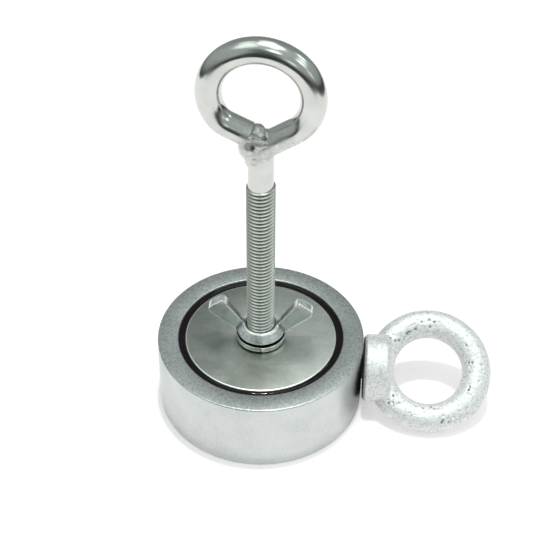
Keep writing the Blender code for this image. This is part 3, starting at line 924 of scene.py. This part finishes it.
LEAN_DEGREES = 53
LEAN = math.radians(LEAN_DEGREES)
along = Vector((math.cos(LEAN), math.sin(LEAN)))
across = Vector((along.y, -along.x))
OUT_ROUND, TOP_ROUND, EAR_WIDTH, EAR_THICK = 2.4 * MM, 1.2 * MM, 7.6 * MM, 3.4 * MM
ROOT_REACH, ROOT_SHARE = 10 * MM, 0.62
between = across * (EAR_WIDTH - OUT_ROUND - TOP_ROUND) - along * (OUT_ROUND - TOP_ROUND)
top_centre_z = nut_top - TOP_ROUND
out_centre = Vector((nut_span - OUT_ROUND, top_centre_z + between.y))
top_centre = out_centre - between
ear_points = [(5.7 * MM, seat + 1.4 * MM), (7.9 * MM, seat + 0.45 * MM), (8.9 * MM, seat + 0.6 * MM)]
ear_points += corner(out_centre, OUT_ROUND, LEAN_DEGREES - 90, LEAN_DEGREES, 10)
ear_points += corner(top_centre, TOP_ROUND, LEAN_DEGREES, LEAN_DEGREES + 90, 8)
ear_points.append((5.6 * MM, seat + 4.0 * MM))
ear = outline_of("ear", ear_points, AXIS + Vector((0, EAR_THICK / 2, 0)))
bpy.ops.mesh.select_all(action="SELECT")
bpy.ops.mesh.edge_face_add()
bpy.ops.mesh.extrude_region_move(TRANSFORM_OT_translate={"value": (0, -EAR_THICK, 0)})
bpy.ops.mesh.select_all(action="DESELECT")
pick(lambda v: v.co.x - AXIS.x < ROOT_REACH)
bpy.ops.transform.resize(value=(1, ROOT_SHARE, 1), center_override=AXIS)
close_piece()
other_ear = ear.copy()
other_ear.data = ear.data.copy()
bpy.context.scene.collection.objects.link(other_ear)
moved(other_ear, Matrix.Translation(AXIS) @ Matrix.Rotation(math.pi, 4, "Z") @ Matrix.Translation(-AXIS))
combine(nut, ear, "UNION")
combine(nut, other_ear, "UNION")
apply_modifier(nut, "REMESH", mode="VOXEL", voxel_size=0.2 * MM)
apply_modifier(nut, "SMOOTH", factor=0.5, iterations=4)
dents = bpy.data.textures.new("casting_dents", "CLOUDS")
dents.noise_scale = 2.2 * MM
apply_modifier(nut, "DISPLACE", texture=dents, texture_coords="LOCAL", strength=0.09 * MM, mid_level=0.55)
note_bends(nut, "bend")

# The inner edges are darker where an ear's edge faces up and inwards, between the boss and the tip.
DARK_EDGE_FROM, DARK_EDGE_TO = 6.6 * MM, 12.6 * MM
darker_edge = []
for vertex in nut.data.vertices:
    side = vertex.co.x - AXIS.x
    facing = vertex.normal.dot(Vector((-math.copysign(0.8, side), 0, 0.6)))
    shares = ((facing - 0.72) / 0.2, (abs(side) - DARK_EDGE_FROM) / MM, (DARK_EDGE_TO - abs(side)) / MM)
    darker_edge.append(max(0.0, min(1.0, *shares)))
write_values(nut, "inner_edge", darker_edge)
finish_piece(nut, CAST_ZINC, "wing_nut", "wing_nut", angle=60)

# %% [markdown]
# ## The side eye bolt
#
# A forged eye bolt is a ring and a round collar, which flow into each other, and a threaded shank. The ring
# is a torus flattened a little, and the collar is turned with a bell-shaped shoulder that rises to meet it.
# They are modelled lying level, joined, remeshed and smoothed, which leaves the soft fillets that a
# forging has, and then turned down until the ring almost touches the ground.

# %% Forge the ring and the collar
RING_OUT, RING_IN, RING_THICK = 23.1 * MM, 12.4 * MM, 9.2 * MM
RING_CENTRE = side_high.x - COLLAR_FACE - RING_OUT
TILT = math.radians(31.0)
half_width = (RING_OUT - RING_IN) / 2
ring = fresh(bpy.ops.mesh.primitive_torus_add, "forged_eye_bolt", major_radius=RING_IN + half_width,
             minor_radius=half_width, major_segments=120, minor_segments=40, location=(RING_CENTRE, 0, 0))
open_piece(ring)
bpy.ops.mesh.select_all(action="SELECT")
bpy.ops.transform.resize(value=(1, 1, RING_THICK / (2 * half_width)), center_override=(RING_CENTRE, 0, 0))
close_piece()

shoulder = [
    (0.0, -0.75), (11.2, -0.75), (11.5, -0.6), (11.7, 0.0), (12.1, 0.05), (12.3, 0.15), (12.5, 0.6),
    (12.5, 7.3), (12.35, 8.0), (11.9, 8.6), (11.1, 9.0), (9.6, 9.35), (7.6, 9.7), (5.6, 10.2),
    (4.2, 10.6), (0.0, 10.7),
]
collar = turned("collar", [(r * MM, z * MM) for r, z in shoulder], steps=120, origin=ORIGIN, closed=False)
moved(collar, Matrix.Rotation(math.radians(90), 4, "Y"))
hole = fresh(bpy.ops.mesh.primitive_cylinder_add, "hole", vertices=96, radius=RING_IN, depth=40 * MM,
             location=(RING_CENTRE, 0, 0))
combine(collar, hole, "DIFFERENCE")
combine(ring, collar, "UNION")
apply_modifier(ring, "REMESH", mode="VOXEL", voxel_size=0.3 * MM)
apply_modifier(ring, "SMOOTH", factor=0.5, iterations=14)
report(ring)

# %% [markdown]
# Scale left pits in the forging, and they gather in patches. Each patch has its place on the ring: its angle
# round the ring and its angle round the ring's own thickness. A seeded random draw scatters the pits in it,
# and each vertex learns how deep in a pit it lies. That value is kept as an attribute, so that the finish
# can darken the same spots, and a Displace modifier sinks them.

# %% Pit the forging
draw = random.Random(11)
GATHERED = 0.6
PIT_SMALLEST, PIT_LARGEST = 0.3 * MM, 0.62 * MM
# Each patch has its angle round the ring and round its thickness, its spread in each, and a count of pits.
patches_of_pits = [
    (118, 112, 12, 24, 24), (88, 98, 18, 30, 13), (8, 82, 7, 30, 9), (-28, 105, 12, 24, 7),
    (-62, 66, 14, 28, 15), (-88, 125, 16, 14, 13), (-126, 95, 16, 30, 15), (150, 75, 10, 24, 6),
    (45, 70, 18, 30, 6),
]
pits = []
for angle, lift, spread, lift_spread, count in patches_of_pits:
    for _ in range(count):
        a = math.radians(draw.gauss(angle, spread * GATHERED))
        b = math.radians(draw.gauss(lift, lift_spread * GATHERED))
        r = RING_IN + half_width + half_width * math.cos(b)
        centre = Vector((RING_CENTRE + r * math.cos(a), r * math.sin(a), RING_THICK / 2 * math.sin(b)))
        pits.append((centre, draw.uniform(PIT_SMALLEST, PIT_LARGEST)))


def sink_depths(obj):
    """How deep in a pit each vertex lies: 1 at a pit's middle, and 0 outside them all."""
    tree = KDTree(len(obj.data.vertices))
    for vertex in obj.data.vertices:
        tree.insert(vertex.co, vertex.index)
    tree.balance()
    found = [0.0] * len(obj.data.vertices)
    for centre, size in pits:
        for _, index, away in tree.find_range(centre, size):
            found[index] = max(found[index], 1 - (away / size) ** 2)
    return found


depths = sink_depths(ring)
group = ring.vertex_groups.new(name="pits")
for index, depth in enumerate(depths):
    if depth > 0:
        group.add([index], depth, "REPLACE")
apply_modifier(ring, "DISPLACE", strength=-0.38 * MM, mid_level=0.0, vertex_group="pits")
ring.vertex_groups.clear()
for kind, width, depth, middle in (("forging_lumps", 8.0, 0.22, 0.7), ("scale_marks", 1.1, 0.16, 0.6)):
    uneven = bpy.data.textures.new(kind, "CLOUDS")
    uneven.noise_scale = width * MM
    apply_modifier(ring, "DISPLACE", texture=uneven, texture_coords="LOCAL", strength=depth * MM,
                   mid_level=middle)
print(len(pits), "pits on", sum(1 for depth in depths if depth > 0), "vertices")

# %% Add the shank and turn the bolt into its place
shank = threaded_rod("shank", -17 * MM, 1.2 * MM, start_taper=MM, end_taper=0.2 * MM, steps=32)
moved(shank, Matrix.Rotation(math.radians(90), 4, "Y"))
side_bolt = combine(ring, shank, "UNION")
write_values(side_bolt, "pit", sink_depths(side_bolt))
laid = Matrix.Translation((COLLAR_FACE, AXIS.y, mid_height)) @ Matrix.Rotation(TILT, 4, "X")
moved(side_bolt, laid)
finish_piece(side_bolt, GALVANISED, "side_eye_bolt", "side_eye_bolt", angle=60)

# %% [markdown]
# ## The floor and the light
#
# The object stands on a sheet of white paper, about a metre across, on a pale studio floor. Polished metal
# shows its room, so the room matters as much as the lamp. The paper's near edges show in it as a dark line,
# and past them the floor is hidden from reflections, which leaves the dim lower walls. The room is a world
# with grey walls, the dark shape of whoever stands in front, and soft round patches for the lamps. One
# small lamp nearly overhead gives the crisp faint shadow.

# %% Lay the floor
sheet = fresh(bpy.ops.mesh.primitive_plane_add, "paper_sheet", size=1.0, location=(-0.105, 0.6, 0.0),
              stretch=(0.91, 1.82, 1.0))
surround = fresh(bpy.ops.mesh.primitive_plane_add, "studio_floor", size=8.0, location=(0, 0, -0.1 * MM))
surround.visible_glossy = False
paper = Finish("floor_white", Base_Color=(0.72, 0.672, 0.69, 1.0), Roughness=1.0, Specular_IOR_Level=0.0,
               Emission_Color=(1.0, 1.0, 1.0, 1.0), Emission_Strength=0.36)
for plane in (sheet, surround):
    plane.data.materials.append(paper.material)


# %% Light the scene
def towards(azimuth, elevation):
    """A direction. Azimuth 0 is the front, 90 is the right, and elevation 90 is straight up."""
    a, e = math.radians(azimuth), math.radians(elevation)
    return Vector((math.sin(a) * math.cos(e), -math.cos(a) * math.cos(e), math.sin(e)))


key_data = bpy.data.lights.new("key_lamp", "AREA")
key_data.shape = "DISK"
key_data.size = 0.05
key_data.energy = 7.6
key_lamp = bpy.data.objects.new("key_lamp", key_data)
bpy.context.scene.collection.objects.link(key_lamp)
overhead = towards(180, 87)
key_lamp.location = Vector((0, 0, 0.02)) + overhead * 1.5
key_lamp.rotation_euler = overhead.to_track_quat("Z", "Y").to_euler()

world = bpy.data.worlds.new("room")
bpy.context.scene.world = world
world.use_nodes = True
room = Tree(world.node_tree)
direction = room.add("TexCoord").outputs["Generated"]


def blob(azimuth, elevation, core, edge, strength):
    """A soft round patch of the room: full inside the core angle, and gone at the edge angle."""
    made = room.add("VectorMath")
    made.operation = "DOT_PRODUCT"
    room.set(made.inputs[0], direction)
    room.set(made.inputs[1], towards(azimuth, elevation))
    return room.span(made.outputs["Value"], 0.0, strength, math.cos(math.radians(edge)),
                     math.cos(math.radians(core)), kind="SMOOTHSTEP")


room_height = room.span(room.axis(direction, "Z"), 0.0, 1.0, -1.0, 1.0)
walls = room.ramp(room_height, (0.36, 0.04), (0.42, 0.05), (0.47, 0.24), (0.51, 0.36), (0.56, 0.44),
                  (0.8, 0.46), (1.0, 0.6))
for shade in (blob(-8, 4, 8, 20, 0.82), blob(-8, 30, 8, 20, 0.6), blob(180, 38, 20, 65, 0.32)):
    walls = room.times(walls, room.calc("SUBTRACT", 1.0, shade))
for lit in (
    blob(100, 80, 12, 22, 1.7),
    blob(-65, 60, 5, 22, 0.9),
    blob(10, 44, 5, 10, 2.5),
    blob(28, 66, 3, 9, 0.8),
    blob(60, 30, 4, 10, 1.8),
    blob(83, 34, 4, 10, 1.3),
    blob(108, 34, 4, 10, 1.8),
    blob(17, 11, 3, 8, 0.8),
    blob(58, 9, 5, 10, 0.5),
    blob(-119, 63, 6, 16, 0.6),
    blob(168, 64, 5, 14, 1.0),
):
    walls = room.calc("ADD", walls, lit)
tinted = room.mix(1.0, walls, (0.90, 1.0, 0.96, 1.0), blend="MULTIPLY")
background = room.nodes["Background"]
room.set(background.inputs["Color"], tinted)
room.set(background.inputs["Strength"], 1.08)
bpy.context.scene.view_settings.view_transform = "Standard"
